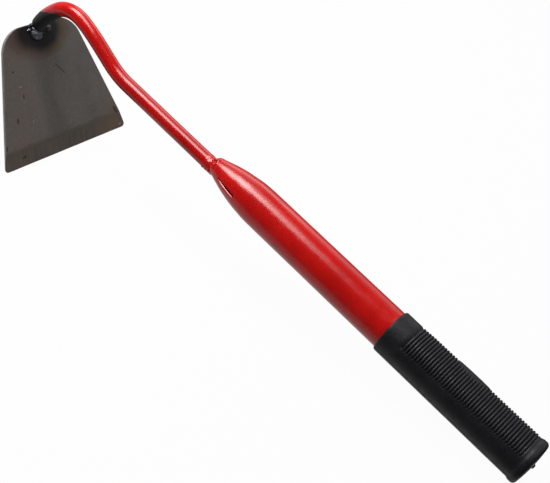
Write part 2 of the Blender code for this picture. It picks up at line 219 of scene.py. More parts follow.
# Marks on the blade's inner face, and a pale patch on both: across, up, half length, half width, turn
BLADE_SCRATCH = (0.0095, -0.0337, 0.0058, 0.0006, -51.0)
BLADE_KNOCKS = (
    (-0.0272, -0.0442, 0.0017, 0.0006, 80.0),
    (-0.0372, -0.0592, 0.0020, 0.0008, 76.0),
    (-0.0520, -0.0750, 0.0022, 0.0007, 66.0),
    (-0.0305, -0.0258, 0.0012, 0.0006, 20.0),
    (-0.0392, -0.0850, 0.0020, 0.0009, 20.0),
    (0.0500, -0.0765, 0.0030, 0.0012, 110.0),
)
BLADE_PALE_NICK = (-0.0278, -0.0370, 0.0013, 0.0006, 0.0)
BLADE_PALE_SPECKS = (
    (-0.0247, -0.0630, 0.0012, 0.0004, 90.0),
    (-0.0220, -0.0628, 0.0009, 0.0003, 90.0),
    (0.0525, -0.0885, 0.0012, 0.0006, 10.0),
    (-0.0435, -0.0560, 0.0010, 0.0003, 80.0),
)
BLADE_SMUDGE = (0.0090, -0.0722, 0.0060, 0.0016, 6.0)
BLADE_PALE_PATCH = (0.0130, -0.0520, 0.0250, 0.0120, 100.0)
BLADE_RUSTY_CORNER = (0.0500, -0.0760, 0.0150, 0.0130, 70.0)


def smooth_step(low, high, value):
    share = min(1.0, max(0.0, (value - low) / (high - low)))
    return share * share * (3 - 2 * share)


def bump_at(point, size, seed):
    """Smooth noise of about -1 to 1, with lumps of the given size."""
    return noise.noise(Vector(point) / size + Vector((seed, 2.7 * seed, -1.3 * seed)))


def mesh_object(name, vertices, faces, material, sharp_angle=None):
    mesh = bpy.data.meshes.new(name)
    mesh.from_pydata(vertices, [], faces)
    work = bmesh.new()
    work.from_mesh(mesh)
    bmesh.ops.recalc_face_normals(work, faces=work.faces)
    work.to_mesh(mesh)
    work.free()
    mesh.shade_smooth()
    if sharp_angle is not None:
        mesh.set_sharp_from_angle(angle=math.radians(sharp_angle))
    mesh.materials.append(material)
    item = bpy.data.objects.new(name, mesh)
    bpy.context.scene.collection.objects.link(item)
    return item


def ring_faces(ring_count, sides):
    """Quads between rings of points, one after the other, open at both ends."""
    faces = []
    for i in range(ring_count - 1):
        for j in range(sides):
            k = (j + 1) % sides
            faces.append((i * sides + j, i * sides + k, (i + 1) * sides + k, (i + 1) * sides + j))
    return faces


def capped(vertices, faces, ring_start, sides, middle):
    """Close a ring with triangles to a point in its middle."""
    tip = len(vertices)
    vertices.append(middle)
    for j in range(sides):
        faces.append((ring_start + j, ring_start + (j + 1) % sides, tip))


def round_x(x, radius, angle):
    """A point round the handle's axis, its angle in radians from +Y towards +Z."""
    return Vector((x, radius * math.cos(angle), radius * math.sin(angle)))


def place_piece(piece, matrix, node):
    piece.data.transform(matrix)
    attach(piece, "root")
    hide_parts(node)


def put(tree, socket, value):
    """Link a socket to another one, or set it to a constant."""
    if isinstance(value, bpy.types.NodeSocket):
        tree.links.new(value, socket)
    else:
        socket.default_value = value


def node_math(tree, operation, *values):
    item = tree.nodes.new("ShaderNodeMath")
    item.operation = operation
    for socket, value in zip(item.inputs, values):
        put(tree, socket, value)
    return item.outputs[0]


def node_vector(tree, operation, output, *values):
    item = tree.nodes.new("ShaderNodeVectorMath")
    item.operation = operation
    for socket, value in zip(item.inputs, values):
        put(tree, socket, value)
    return item.outputs[output]


def node_fade(tree, value, low, high, start, end):
    """A smooth step of a value from low to high."""
    item = tree.nodes.new("ShaderNodeMapRange")
    item.interpolation_type = "SMOOTHSTEP"
    tree.links.new(value, item.inputs["Value"])
    for socket, number in (("From Min", low), ("From Max", high), ("To Min", start), ("To Max", end)):
        item.inputs[socket].default_value = number
    return item.outputs["Result"]


class Shader:
    """A Principled material and short ways to add nodes to it."""

    def __init__(self, name, roughness, specular, metallic=0.0):
        self.material = bpy.data.materials.new(name)
        self.material.use_nodes = True
        self.tree = self.material.node_tree
        self.main = self.tree.nodes["Principled BSDF"]
        self.main.inputs["Roughness"].default_value = roughness
        self.main.inputs["Metallic"].default_value = metallic
        self.main.inputs["IOR"].default_value = 1.5
        self.main.inputs["Specular IOR Level"].default_value = specular
        self.place = self.tree.nodes.new("ShaderNodeTexCoord").outputs["Object"]

    def node(self, kind, **inputs):
        item = self.tree.nodes.new(kind)
        for name, value in inputs.items():
            put(self.tree, item.inputs[name], value)
        return item

    def noise(self, scale, detail=4.0, roughness=0.55, at=None):
        item = self.node("ShaderNodeTexNoise", Vector=at or self.place, Scale=scale, Detail=detail,
                         Roughness=roughness)
        return item.outputs["Fac"]

    def spots(self, scale):
        """Distance to the nearest of scattered points."""
        return self.node("ShaderNodeTexVoronoi", Vector=self.place, Scale=scale).outputs["Distance"]

    def ramp(self, value, low, high, start=0.0, end=1.0):
        return node_fade(self.tree, value, low, high, start, end)

    def math(self, operation, *values):
        return node_math(self.tree, operation, *values)

    def mix(self, share, first, second):
        item = self.tree.nodes.new("ShaderNodeMix")
        item.data_type = "RGBA"
        put(self.tree, item.inputs["Factor"], share)
        sockets = [s for s in item.inputs if s.type == "RGBA"]
        for socket, colour in zip(sockets, (first, second)):
            if isinstance(colour, tuple):
                socket.default_value = (*colour, 1.0)
            else:
                self.tree.links.new(colour, socket)
        return [s for s in item.outputs if s.type == "RGBA"][0]

    def vector(self, operation, output, *values):
        return node_vector(self.tree, operation, output, *values)

    def distance(self, point):
        return self.vector("DISTANCE", "Value", self.place, point)

    def along(self, direction, origin=(0.0, 0.0, 0.0)):
        """How far the point lies from the origin along a direction."""
        offset = self.vector("SUBTRACT", "Vector", self.place, origin)
        return self.vector("DOT_PRODUCT", "Value", offset, direction)

    def colour(self, value):
        self.tree.links.new(value, self.main.inputs["Base Color"])

    def roughness(self, value):
        self.tree.links.new(value, self.main.inputs["Roughness"])

    def bump(self, height, distance, strength=1.0):
        item = self.node("ShaderNodeBump", Height=height, Strength=strength, Distance=distance)
        last = self.main.inputs["Normal"]
        if last.is_linked:
            self.tree.links.new(last.links[0].from_socket, item.inputs["Normal"])
        self.tree.links.new(item.outputs["Normal"], last)


def depth_in_tube(shader):
    """How deep a point lies under the skin of the tube's nose."""
    axis, origin = tuple(HANDLE.to_3x3().col[0]), tuple(HANDLE_ORIGIN)
    x = shader.along(axis, origin)
    remaining = shader.math("MAXIMUM", shader.math("MULTIPLY_ADD", x, -1 / NOSE_LENGTH, 1.0), 0.0)
    narrowing = shader.math("MULTIPLY", shader.math("POWER", remaining, NOSE_FULLNESS),
                            TUBE_RADIUS - NOSE_TIP_RADIUS)
    offset = shader.vector("SUBTRACT", "Vector", shader.place, origin)
    reach = shader.vector("LENGTH", "Value", shader.vector("CROSS_PRODUCT", "Vector", offset, axis))
    return shader.math("SUBTRACT", shader.math("SUBTRACT", TUBE_RADIUS, narrowing), reach)


def enamel(name, painted_tone=1.0, scorch_point=None, slits=False):
    """Glossy red enamel with a faint orange peel, its red scaled by a painted light-and-shade tone,
    scorched near a weld and darkened by painted shade along the rod's straight run, with painted shade
    inside the slits.
    """
    shader = Shader(name, roughness=0.20, specular=0.42)
    cloud = shader.noise(38.0, 3.0)
    # The red, scaled by the painted light-and-shade tone
    red = shader.mix(shader.ramp(cloud, 0.35, 0.65),
                     (0.398 * painted_tone, 0.0040, 0.0031), (0.466 * painted_tone, 0.0054, 0.0042))
    nibs = shader.ramp(shader.spots(300.0), 0.04, 0.10, 1.0, 0.0)
    nib_share = shader.math("MULTIPLY", nibs, shader.ramp(shader.noise(90.0, 1.0), 0.66, 0.72))
    red = shader.mix(shader.math("MULTIPLY", nib_share, 0.5), red, (0.16, 0.004, 0.004))
    rough = shader.ramp(shader.noise(210.0, 3.0), 0.3, 0.7, 0.17, 0.23)
    if scorch_point:
        # Painted shade: the red is up to 17% darker along the straight run
        straight_run_shade = shader.ramp(shader.along((1.0, 0.0, 0.0)), -0.150, -0.125, 0.0, 0.17)
        red = shader.mix(straight_run_shade, red, (0.0, 0.0, 0.0))
        # The burnt end lies below a sloping line round the hook, a little ragged
        ragged = shader.math("MULTIPLY", shader.math("SUBTRACT", shader.noise(330.0, 3.0), 0.5), 0.0016)
        below = shader.math("ADD", shader.along(SCORCH_NORMAL, SCORCH_PLACE), ragged)
        near = shader.ramp(shader.distance(scorch_point), 0.031, 0.036, 1.0, 0.0)
        burnt = shader.math("MULTIPLY", shader.ramp(below, -0.0005, 0.0009), near)
        browned = shader.math("MULTIPLY", shader.ramp(below, -0.0050, 0.0006, 0.0, 0.75), near)
        red = shader.mix(browned, red, (0.20, 0.008, 0.022))
        soot = shader.mix(shader.noise(900.0, 4.0), (0.003, 0.003, 0.004), (0.014, 0.013, 0.017))
        red = shader.mix(burnt, red, soot)
        rough = shader.math("ADD", rough, shader.math("MULTIPLY", burnt, 0.42))
        shader.bump(shader.math("MULTIPLY", shader.noise(800.0, 3.0), burnt), 0.00022, 0.7)
    if slits:
        # Painted shade: near black deep inside the slits, more than 1 mm under the nose's skin
        slit_painted_shade = shader.ramp(depth_in_tube(shader), 0.0010, 0.0013)
        red = shader.mix(slit_painted_shade, red, (0.004, 0.002, 0.002))
        rough = shader.math("ADD", rough, shader.math("MULTIPLY", slit_painted_shade, 0.5))
    shader.colour(red)
    shader.roughness(rough)
    shader.bump(shader.noise(70.0, 2.0), 0.00012, 0.6)
    shader.bump(shader.noise(420.0, 1.0), 0.000012, 0.6)
    return shader.material


def soft_pvc(name):
    """Black PVC with a faint bloom and a fine moulded grain."""
    shader = Shader(name, roughness=0.46, specular=0.25)
    bloom = shader.ramp(shader.noise(55.0, 5.0), 0.35, 0.75)
    shader.colour(shader.mix(bloom, (0.0081, 0.0081, 0.0099), (0.0122, 0.0122, 0.0148)))
    shader.roughness(shader.ramp(shader.noise(300.0, 4.0), 0.3, 0.7, 0.40, 0.56))
    shader.bump(shader.noise(2600.0, 3.0), 0.00004, 0.5)
    shader.bump(shader.noise(180.0, 2.0), 0.00006, 0.4)
    return shader.material


def blade_steel(name, weld_point, across, up):
    """Dark mill scale with rust-brown patches, heat tints round the weld and a ground edge band."""
    shader = Shader(name, roughness=0.5, metallic=0.30, specular=0.35)
    height = shader.along(tuple(up), weld_point)
    side = shader.along(tuple(across), weld_point)
    # 1 on the inner face, 0 on the rim and -1 on the outer face
    facing = shader.vector("DOT_PRODUCT", "Value", shader.node("ShaderNodeNewGeometry").outputs["Normal"],
                           tuple(across.cross(up)))
    inner = shader.ramp(facing, 0.0, 0.3)

    def stretched(across_scale, up_scale, detail):
        place = shader.node("ShaderNodeCombineXYZ", X=shader.math("MULTIPLY", side, across_scale),
                            Y=shader.math("MULTIPLY", height, up_scale))
        return shader.noise(1.0, detail, 0.65, at=place.outputs["Vector"])

    def mark(place, soft=0.5):
        """1 inside an ellipse on the face, its long side turned from the across direction."""
        mark_side, mark_up, half_length, half_width, turn = place
        cosine, sine = math.cos(math.radians(turn)), math.sin(math.radians(turn))
        off_side = shader.math("SUBTRACT", side, mark_side)
        off_up = shader.math("SUBTRACT", height, mark_up)
        long_way = shader.math("ADD", shader.math("MULTIPLY", off_side, cosine / half_length),
                               shader.math("MULTIPLY", off_up, sine / half_length))
        short_way = shader.math("ADD", shader.math("MULTIPLY", off_side, -sine / half_width),
                                shader.math("MULTIPLY", off_up, cosine / half_width))
        square = shader.math("ADD", shader.math("MULTIPLY", long_way, long_way),
                             shader.math("MULTIPLY", short_way, short_way))
        return shader.ramp(square, 1.0 - soft, 1.0 + soft, 1.0, 0.0)

    cloud = shader.noise(30.0, 5.0, 0.6)
    fine = shader.noise(420.0, 5.0, 0.65)
    scale = shader.mix(shader.ramp(cloud, 0.32, 0.68), (0.117, 0.105, 0.096), (0.140, 0.127, 0.118))
    left = shader.ramp(shader.math("ADD", side, shader.math("MULTIPLY", cloud, 0.02)), 0.004, -0.012)
    scale = shader.mix(shader.math("MULTIPLY", left, 0.40), scale, (0.152, 0.123, 0.107))
    rusty = shader.math("MULTIPLY", shader.ramp(shader.noise(70.0, 4.0, 0.6), 0.46, 0.66), left)
    scale = shader.mix(shader.math("MULTIPLY", rusty, 0.40), scale, (0.148, 0.104, 0.083))
    column = shader.math("MULTIPLY", shader.ramp(side, -0.018, -0.009), shader.ramp(side, 0.006, -0.005))
    scale = shader.mix(shader.math("MULTIPLY", column, 0.50), scale, (0.084, 0.077, 0.073))
    patch = shader.math("MULTIPLY", mark(BLADE_PALE_PATCH, 0.9), 0.70)
    scale = shader.mix(patch, scale, (0.158, 0.143, 0.135))
    weave = shader.math("ADD", stretched(260.0, 1500.0, 3.0), stretched(1500.0, 300.0, 3.0))
    scale = shader.mix(shader.ramp(weave, 0.72, 1.28, 0.0, 0.34), scale, (0.064, 0.057, 0.053))
    scale = shader.mix(shader.ramp(fine, 0.50, 0.80, 0.0, 0.30), scale, (0.215, 0.200, 0.187))
    # The ground band, its start a little uneven, with scratches that run down it
    wander = shader.math("MULTIPLY", shader.math("SUBTRACT", shader.noise(90.0, 4.0), 0.5), 0.0036)
    band_top = BLADE_TOP_OVER_ROD - BLADE_HEIGHT + GROUND_WIDTH
    ground = shader.ramp(shader.math("ADD", height, wander), band_top + 0.0020, band_top - 0.0016)
    ground = shader.math("MULTIPLY", ground, inner)
    scratches = stretched(1300.0, 50.0, 3.0)
    band = shader.mix(shader.ramp(scratches, 0.35, 0.65), (0.074, 0.061, 0.051), (0.107, 0.091, 0.077))
    brown = shader.math("MAXIMUM", shader.ramp(side, 0.020, 0.036),
                        shader.ramp(side, -0.028, -0.040, 0.0, 0.35))
    brown = shader.math("MULTIPLY", brown, shader.ramp(shader.noise(75.0, 3.0), 0.34, 0.62, 0.2, 1.0))
    band = shader.mix(shader.math("MULTIPLY", brown, 0.75), band, (0.130, 0.090, 0.063))
    scale = shader.mix(ground, scale, band)
    corner = shader.math("MULTIPLY", mark(BLADE_RUSTY_CORNER, 0.9),
                         shader.ramp(shader.noise(220.0, 4.0), 0.35, 0.60, 0.2, 0.6))
    scale = shader.mix(shader.math("MULTIPLY", corner, inner), scale, (0.135, 0.094, 0.062))
    # Heat tints round the weld: soot, then a broken ring of brown to the left and olive to the right
    ragged = shader.math("MULTIPLY", shader.math("SUBTRACT", shader.noise(110.0, 4.0, 0.6), 0.5), 0.0050)
    narrow = shader.math("MULTIPLY_ADD", side, 1 / 1.50, 0.0007)
    lower = shader.math("ADD", height, 0.0042)
    reach = shader.math("SQRT", shader.math("ADD", shader.math("MULTIPLY", narrow, narrow),
                                            shader.math("MULTIPLY", lower, lower)))
    reach = shader.math("ADD", reach, ragged)
    tint = shader.mix(shader.ramp(side, -0.004, 0.010), (0.088, 0.056, 0.044), (0.090, 0.064, 0.036))
    warm = shader.math("MULTIPLY", shader.ramp(reach, 0.0108, 0.0135), shader.ramp(reach, 0.0215, 0.0150))
    scale = shader.mix(shader.math("MULTIPLY", warm, 0.80), scale, tint)
    soot = shader.ramp(reach, 0.0098, 0.0162, 1.0, 0.0)
    black = shader.mix(shader.noise(260.0, 3.0), (0.0052, 0.0042, 0.0052), (0.0120, 0.0095, 0.0105))
    scale = shader.mix(shader.math("MULTIPLY", soot, 0.95), scale, black)
    # Knocks and stains, on the inner face alone
    dark = shader.math("MULTIPLY", mark(BLADE_SCRATCH, 0.8), 0.55)
    for place in BLADE_KNOCKS:
        dark = shader.math("MAXIMUM", dark, shader.math("MULTIPLY", mark(place), 0.75))
    pits = shader.math("MULTIPLY", shader.ramp(shader.spots(190.0), 0.08, 0.17, 0.6, 0.0),
                       shader.ramp(shader.noise(95.0, 1.0), 0.64, 0.70))
    dark = shader.math("MAXIMUM", shader.math("MULTIPLY", dark, inner), pits)
    scale = shader.mix(dark, scale, (0.024, 0.015, 0.012))
    pale = shader.math("MULTIPLY", mark(BLADE_PALE_NICK), 0.5)
    for place in BLADE_PALE_SPECKS:
        pale = shader.math("MAXIMUM", pale, shader.math("MULTIPLY", mark(place), 0.6))
    smudge = shader.math("MULTIPLY", mark(BLADE_SMUDGE, 0.9), shader.ramp(fine, 0.45, 0.65, 0.0, 0.35))
    pale = shader.math("MULTIPLY", shader.math("MAXIMUM", pale, smudge), inner)
    scale = shader.mix(pale, scale, (0.27, 0.25, 0.24))
    # The sheared edge all round is paler than the faces
    rim = shader.math("MULTIPLY", shader.ramp(shader.math("ABSOLUTE", facing), 0.55, 0.25),
                      shader.ramp(soot, 0.0, 0.6, 0.9, 0.15))
    sheared = shader.mix(shader.noise(200.0, 4.0), (0.12, 0.113, 0.108), (0.27, 0.262, 0.255))
    scale = shader.mix(rim, scale, sheared)
    shader.colour(scale)
    rough = shader.ramp(shader.noise(140.0, 4.0), 0.3, 0.7, 0.42, 0.60)
    shader.roughness(shader.math("ADD", rough, shader.math("MULTIPLY", ground, -0.05)))
    shader.bump(fine, 0.00004, 0.6)
    shader.bump(cloud, 0.00025, 0.5)
    shader.bump(shader.math("MULTIPLY", scratches, ground), 0.00005, 0.6)
    shader.bump(shader.math("SUBTRACT", pale, dark), 0.00012, 0.8)
    return shader.material


def weld_metal(name, beads, painted_highlights):
    """Sooty weld metal with bluish beads and painted highlights of near-white colour, each a centre, a
    reach and a share.
    """
    shader = Shader(name, roughness=0.35, metallic=0.55, specular=0.5)

    def around(places, far, near):
        share = 0.0
        for centre, reach, most in places:
            share = shader.math("MAXIMUM", share,
                                shader.ramp(shader.distance(centre), reach * far, reach * near, 0.0, most))
        return share

    broken = shader.ramp(shader.noise(420.0, 3.0), 0.32, 0.60, 0.35, 1.0)
    skin = shader.math("MULTIPLY", around(beads, 1.15, 0.75), broken)
    metal = shader.mix(skin, (0.009, 0.009, 0.011), (0.150, 0.163, 0.198))
    # Painted highlights: near-white colour on streaks of the beads
    shader.colour(shader.mix(around(painted_highlights, 1.1, 0.8), metal, (0.75, 0.75, 0.77)))
    shader.roughness(shader.ramp(shader.noise(500.0, 3.0), 0.3, 0.7, 0.24, 0.46))
    shader.bump(shader.noise(600.0, 2.0), 0.00016, 0.6)
    return shader.material


def nose_radius(x):
    remaining = max(0.0, 1.0 - x / NOSE_LENGTH)
    radius = TUBE_RADIUS - (TUBE_RADIUS - NOSE_TIP_RADIUS) * remaining ** NOSE_FULLNESS
    return radius - NOSE_TIP_ROUNDING * max(0.0, 1.0 - x / NOSE_TIP_ROUND_LENGTH) ** 2


def slit_groove(x, down):
    """Depth of a slit at x, this far below its middle. Its lower lip is bevelled."""
    share = (x - SLIT_START) / (SLIT_ROOT - SLIT_START)
    if share < 0 or x > SLIT_ROOT:
        return 0.0
    half_width = SLIT_ROOT_WIDTH / 2 * (0.55 + 0.45 * share)
    rest = SLIT_ROOT - SLIT_ROOT_WIDTH / 2
    if x > rest:
        half_width = math.sqrt(max(0.0, half_width ** 2 - (x - rest) ** 2))
    opened = smooth_step(0.0, 0.12, share)
    depth = SLIT_DEPTH * smooth_step(-0.00008, 0.00012, half_width - abs(down)) * opened
    lip = SLIT_LIP_WIDTH * opened * (1 - smooth_step(rest, SLIT_ROOT, x))
    return max(depth, SLIT_LIP_SLOPE * min(lip, max(0.0, half_width + lip - down)) if down > 0 else 0.0)


def crevice(x, angle, radius):
    """Depth of the dark seam between the neck's weld and the nose."""
    off = angle - math.radians(CREVICE_ANGLE) - CREVICE_TURN * x
    within = smooth_step(-0.0014, -0.0006, x) * (1 - smooth_step(0.0024, 0.0032, x))
    return CREVICE_DEPTH * within * math.exp(-(off * radius / CREVICE_HALF_WIDTH) ** 2)


def tube_angles():
    """Angles round the tube in degrees, closer together at the two slits."""
    angles = []
    for middle in SLIT_ANGLES:
        angles += [middle + 0.35 * i for i in range(-18, 19)]
        angles += [middle + 6.3 + (180 - 12.6) * i / 56 for i in range(1, 56)]
    return [math.radians(a) for a in sorted(a % 360 for a in angles)]


def make_tube(material):
    angles = tube_angles()
    slit_middles = [math.radians(a % 360) for a in SLIT_ANGLES]
    # Rings closer together at the nose's tip, along the slits and most of all at their roots
    stations = [0.0004 * i for i in range(26)]
    stations += [0.0104 + 0.00030 * i for i in range(54)]
    stations += [0.0266 + 0.00013 * i for i in range(16)]
    stations += [0.0292 + 0.0010 * i for i in range(24)]
    stations += [0.0540 + (GRIP_START - 0.0540) * i / 36 for i in range(37)]
    stations += [GRIP_START + 0.0015, TUBE_VISIBLE_END]
    vertices = []
    for x in stations:
        for angle in angles:
            base = nose_radius(x) if x < GRIP_START + 0.001 else TUBE_RADIUS_IN_GRIP
            pressed = smooth_step(-0.004, 0.008, x) * (1 - smooth_step(0.030, 0.058, x))
            base += NOSE_DENT * pressed * bump_at(round_x(x, base, angle), 0.0075, 3.1)
            base += 0.00003 * bump_at(round_x(x, base, angle), 0.020, 8.4)
            base -= crevice(x, angle, base)
            for middle in slit_middles:
                off = (angle - middle + math.pi) % (2 * math.pi) - math.pi
                down = -off * base * math.copysign(1.0, math.cos(middle))
                base -= slit_groove(x, down) if abs(off) < 0.2 else 0.0
            vertices.append(round_x(x, base, angle))
    sides = len(angles)
    faces = ring_faces(len(stations), sides)
    capped(vertices, faces, 0, sides, Vector((0.0, 0.0, 0.0)))
    capped(vertices, faces, (len(stations) - 1) * sides, sides, Vector((stations[-1], 0.0, 0.0)))
    return mesh_object("tube_body", vertices, faces, material, 50)


def rib_pitch():
    """How many ribs fit and the pitch that spreads them evenly."""
    length = GRIP_LENGTH - RIBS_END - COLLAR_LENGTH
    count = round(length / RIB_PITCH)
    return count, length / count


def rib_height(along, share):
    """Height of the ribbed side over the plain one, at a distance from the first rib's edge."""
    phase = (along / RIB_PITCH) % 1.0
    off_valley = min(phase, 1 - phase)
    valley = 1 - smooth_step(0.0, RIB_VALLEY_SHARE, off_valley)
    return share * (RIB_RISE * smooth_step(0.0, RIB_RAMP_LENGTH, along) - RIB_DEPTH * valley)


def grip_radius(height, angle):
    """Radius of the sleeve's outside at a height from its rim."""
    off = (math.degrees(angle) - RIB_PANEL_TURN + 180) % 360 - 180
    radius = GRIP_RADIUS
    if height < RIM_ROUNDING:
        radius -= RIM_ROUNDING * (1 - math.sqrt(1 - (1 - height / RIM_ROUNDING) ** 2))
    ribs_end = GRIP_LENGTH - RIBS_END
    pitch = rib_pitch()[1]
    if COLLAR_LENGTH <= height <= ribs_end:
        share = (height - COLLAR_LENGTH) / (ribs_end - COLLAR_LENGTH)
        wide, narrow = RIB_PANEL_HALF_ANGLES
        half_angle = wide + share * (narrow - wide)
        panel = smooth_step(0.0, RIB_FADE_ANGLE, half_angle - abs(off))
        across = math.radians(off) * GRIP_RADIUS / (PAD_WIDTH / 2)
        lengthways = (height - PAD_MIDDLE) / (PAD_LENGTH / 2)
        slit_painted_shade = 1 - math.hypot(across, lengthways)
        pad = smooth_step(-0.03, 0.09, slit_painted_shade)
        radius += rib_height((height - COLLAR_LENGTH) * RIB_PITCH / pitch, panel) * (1 - pad)
        radius += pad * (PAD_RISE + 0.0002 * min(1.0, max(0.0, slit_painted_shade * 2)))
    flange_start = GRIP_LENGTH - FLANGE_LENGTH
    if height > flange_start:
        radius += (FLANGE_RADIUS - GRIP_RADIUS) * smooth_step(0.0, FLANGE_FLARE, height - flange_start)
    corner = GRIP_LENGTH - FLANGE_CORNER_RADIUS
    if height > corner:
        depth = min(1.0, (height - corner) / FLANGE_CORNER_RADIUS)
        radius -= FLANGE_CORNER_RADIUS * (1 - math.sqrt(1 - depth * depth))
    for seam in SEAM_ANGLES:
        from_seam = (math.degrees(angle) - seam + 180) % 360 - 180
        radius -= SEAM_DEPTH * smooth_step(0.0, SEAM_HALF_ANGLE, SEAM_HALF_ANGLE - abs(from_seam))
    return radius


def grip_heights():
    ribs_end = GRIP_LENGTH - RIBS_END
    count, pitch = rib_pitch()
    heights = [RIM_ROUNDING * (1 - math.cos(math.radians(a))) for a in range(0, 91, 15)]
    heights += [RIM_ROUNDING + (COLLAR_LENGTH - RIM_ROUNDING) * i / 8 for i in range(1, 8)]
    for i in range(count):
        for phase in (0.0, 0.06, 0.12, 0.19, 0.27, 0.5, 0.73, 0.81, 0.88, 0.94):
            heights.append(COLLAR_LENGTH + pitch * (i + phase))
    corner = GRIP_LENGTH - FLANGE_CORNER_RADIUS
    flange_start = GRIP_LENGTH - FLANGE_LENGTH
    heights += [ribs_end + (flange_start - ribs_end) * i / 3 for i in range(3)]
    heights += [flange_start + FLANGE_FLARE * i / 7 for i in range(8)]
    heights += [corner + FLANGE_CORNER_RADIUS * math.sin(math.radians(a)) for a in range(0, 91, 9)]
    return heights


def grip_angles():
    """Angles round the sleeve, closer together at its two seams."""
    angles = []
    for seam in SEAM_ANGLES:
        angles += [seam + SEAM_HALF_ANGLE * i / 4 for i in range(-4, 5)]
        angles += [seam + SEAM_HALF_ANGLE + (180 - 2 * SEAM_HALF_ANGLE) * i / 96 for i in range(1, 96)]
    return [math.radians(a) for a in sorted(a % 360 for a in angles)]


def make_grip(material):
    angles = grip_angles()
    sides = len(angles)
    vertices = []
    rings = []

    def add_ring(x, radii):
        rings.append(len(vertices))
        for angle, radius in zip(angles, radii):
            vertices.append(round_x(x, radius, angle))

    for x, radius in ((GRIP_LENGTH - GRIP_END_WALL, GRIP_BORE_RADIUS), (0.0, GRIP_BORE_RADIUS)):
        add_ring(x, [radius] * sides)
    for height in grip_heights():
        add_ring(height, [grip_radius(height, angle) for angle in angles])
    last = FLANGE_RADIUS - FLANGE_CORNER_RADIUS
    for share in (0.94, 0.8, 0.6, 0.4, 0.2, 0.11):
        height = GRIP_LENGTH + END_DOME * (1 - share * share)
        add_ring(height, [last * share] * sides)
    top = GRIP_LENGTH + END_DOME
    for radius, rise in ((NUB_RADIUS, -0.0001), (NUB_RADIUS, 0.5), (NUB_RADIUS * 0.6, 0.95)):
        add_ring(top + NUB_HEIGHT * rise, [radius] * sides)
    faces = ring_faces(len(rings), sides)
    capped(vertices, faces, 0, sides, Vector((GRIP_LENGTH - GRIP_END_WALL, 0.0, 0.0)))
    capped(vertices, faces, rings[-1], sides, Vector((top + NUB_HEIGHT, 0.0, 0.0)))
    grip = mesh_object("grip_sleeve", vertices, faces, material, 55)
    grip.data.transform(Matrix.Translation((GRIP_START, 0.0, 0.0)))
    return grip


def rod_path():
    """Points and headings of the rod's axis in the handle's XZ plane."""
    x, z, heading = ROD_START, -ROD_DROP, math.pi
    path = [(x, z, heading)]
    for length, turn in ROD_RUNS:
        count = max(1, round(length / ROD_STEP))
        step_turn = math.radians(turn) / count
        for _ in range(count):
            middle = heading + step_turn / 2
            x += length / count * math.cos(middle)
            z += length / count * math.sin(middle)
            heading += step_turn
            path.append((x, z, heading))
    return path


def blade_frame(path):
    """Origin where the rod's axis meets the blade's inner face, X across, Y up it, Z out of it."""
    across = Vector((0.0, 1.0, 0.0))
    up = Vector((-math.cos(BLADE_LEAN), 0.0, math.sin(BLADE_LEAN)))
    place = Matrix((across, up, across.cross(up))).transposed().to_4x4()
    place.translation = Vector((path[-1][0], 0.0, path[-1][1]))
    return place


def make_rod(path, blade, material):
    face_normal = blade.to_3x3().col[2]
    face_point = blade.translation + face_normal * 0.0002
    vertices = []
    for i, (x, z, heading) in enumerate(path):
        forward = Vector((math.cos(heading), 0.0, math.sin(heading)))
        lift = Vector((math.sin(heading), 0.0, -math.cos(heading)))
        for j in range(ROD_SIDES):
            angle = 2 * math.pi * j / ROD_SIDES
            spoke = Vector((0.0, 1.0, 0.0)) * math.cos(angle) + lift * math.sin(angle)
            point = Vector((x, 0.0, z)) + spoke * ROD_RADIUS
            point += spoke * 0.00004 * bump_at(point, 0.011, 5.2)
            gap = (point - face_point).dot(face_normal)
            if i == len(path) - 1 or (i > len(path) - 12 and gap < 0):
                point -= forward * gap / forward.dot(face_normal)
            vertices.append(point)
    faces = ring_faces(len(path), ROD_SIDES)
    start = Vector((path[0][0], 0.0, path[0][1]))
    capped(vertices, faces, 0, ROD_SIDES, start)
    capped(vertices, faces, (len(path) - 1) * ROD_SIDES, ROD_SIDES, face_point)
    return mesh_object("neck_bar", vertices, faces, material, 50)


def blade_half_width(height):
    """Half the blade's width at a height above the rod's middle, with its rounded corners."""
    top, bottom = BLADE_TOP_OVER_ROD, BLADE_TOP_OVER_ROD - BLADE_HEIGHT
    slope = (BLADE_EDGE_WIDTH - BLADE_TOP_WIDTH) / 2 / BLADE_HEIGHT
    side = math.hypot(1.0, slope)
    width = BLADE_TOP_WIDTH / 2 + (top - height) * slope
    centre_height = top - BLADE_TOP_RADIUS
    centre = BLADE_TOP_WIDTH / 2 + BLADE_TOP_RADIUS * slope - BLADE_TOP_RADIUS * side
    touch = centre_height + BLADE_TOP_RADIUS * slope / side
    if height > touch:
        width = centre + math.sqrt(max(0.0, BLADE_TOP_RADIUS ** 2 - (height - centre_height) ** 2))
    centre_height = bottom + BLADE_EDGE_RADIUS
    centre = BLADE_EDGE_WIDTH / 2 - BLADE_EDGE_RADIUS * slope - BLADE_EDGE_RADIUS * side
    touch = centre_height + BLADE_EDGE_RADIUS * slope / side
    if height < touch:
        width = centre + math.sqrt(max(0.0, BLADE_EDGE_RADIUS ** 2 - (height - centre_height) ** 2))
    return width


